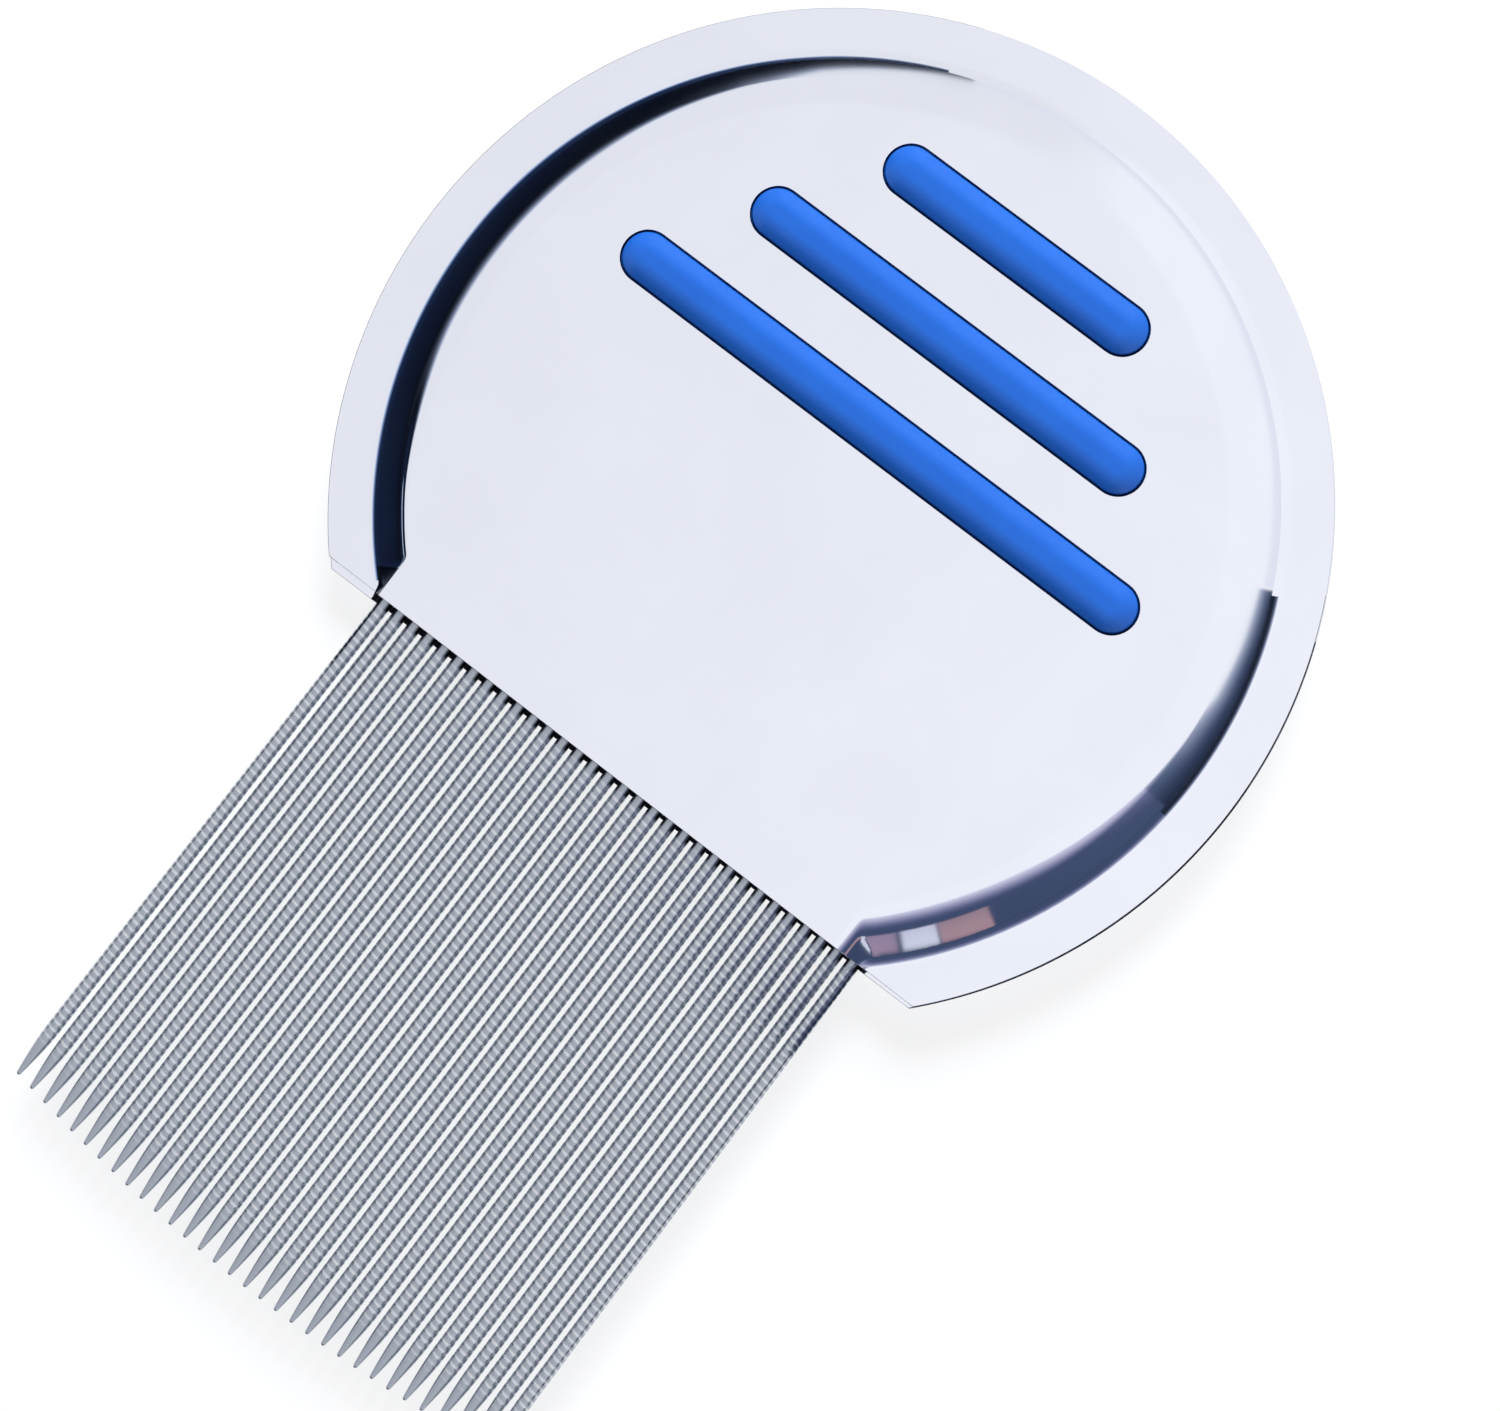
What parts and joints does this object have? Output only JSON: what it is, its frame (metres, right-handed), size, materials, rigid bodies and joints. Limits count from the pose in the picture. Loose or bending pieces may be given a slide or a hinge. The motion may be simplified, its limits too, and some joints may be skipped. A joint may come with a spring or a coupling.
{
  "type": "flea comb",
  "caption": "Fine-toothed pet comb: a round flat handle of two pressed steel shells with raised grip ribs on both faces, and one row of straight round steel teeth.",
  "frame": {"origin": "on the surface that the ribs of the back lie on, under the middle of the comb's overall length and width", "axes": "+X across the comb, +Y from the teeth to the round end of the handle, +Z out of the front face"},
  "size_m": [0.067, 0.0978, 0.0056],
  "materials": {
    "shell_steel": "mirror polished pressed stainless sheet",
    "tooth_steel": "drawn and polished stainless wire",
    "grip_blue": "satin moulded ABS",
    "strip_black": "moulded black nylon"
  },
  "bodies": {
    "root": {"back_clamp_strip": "strip_black", "back_shell": "shell_steel", "front_clamp_strip": "strip_black", "front_shell": "shell_steel", "grip_core": "grip_blue", "tooth_01": "tooth_steel", "tooth_02": "tooth_steel", "tooth_03": "tooth_steel", "tooth_04": "tooth_steel", "tooth_05": "tooth_steel", "tooth_06": "tooth_steel", "tooth_07": "tooth_steel", "tooth_08": "tooth_steel", "tooth_09": "tooth_steel", "tooth_10": "tooth_steel", "tooth_11": "tooth_steel", "tooth_12": "tooth_steel", "tooth_13": "tooth_steel", "tooth_14": "tooth_steel", "tooth_15": "tooth_steel", "tooth_16": "tooth_steel", "tooth_17": "tooth_steel", "tooth_18": "tooth_steel", "tooth_19": "tooth_steel", "tooth_20": "tooth_steel", "tooth_21": "tooth_steel", "tooth_22": "tooth_steel", "tooth_23": "tooth_steel", "tooth_24": "tooth_steel", "tooth_25": "tooth_steel", "tooth_26": "tooth_steel", "tooth_27": "tooth_steel", "tooth_28": "tooth_steel", "tooth_29": "tooth_steel", "tooth_30": "tooth_steel", "tooth_31": "tooth_steel", "tooth_32": "tooth_steel"}
  },
  "joints": []
}
